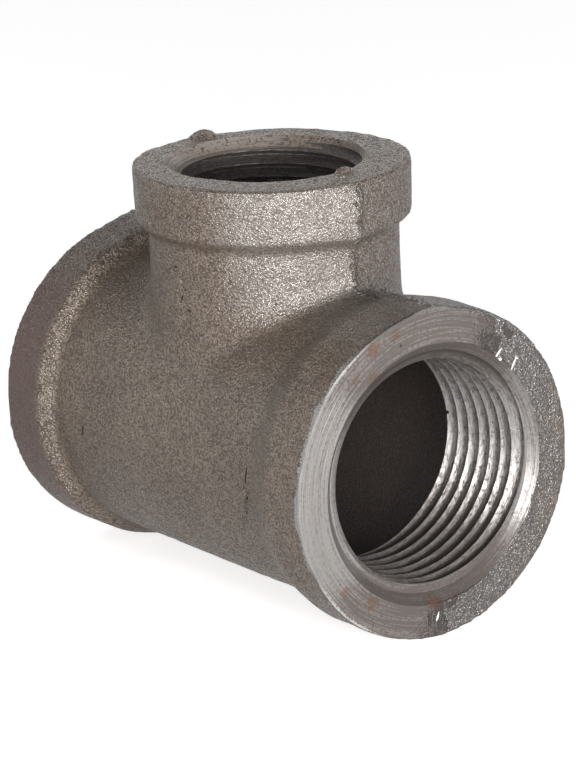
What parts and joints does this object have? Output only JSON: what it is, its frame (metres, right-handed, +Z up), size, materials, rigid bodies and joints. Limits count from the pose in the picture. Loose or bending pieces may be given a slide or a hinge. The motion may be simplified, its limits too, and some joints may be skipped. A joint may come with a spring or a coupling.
{
  "type": "pipe reducing tee",
  "caption": "Cast iron pipe tee with equal threaded run ends and a smaller threaded branch at right angles, each end thickened by a plain band.",
  "frame": {"origin": "directly below the crossing of the centre lines, level with the lowest points of the two run bands", "axes": "+X along the run, out of one of its two like ends; +Z up along the branch, out of its mouth; the run's centre line is 22.6 mm above the origin"},
  "size_m": [0.0696, 0.0452, 0.06],
  "materials": {
    "casting": "as-cast dark iron skin, with bare machined end faces, countersinks and threads"
  },
  "bodies": {
    "root": {"tee": "casting"}
  },
  "joints": []
}
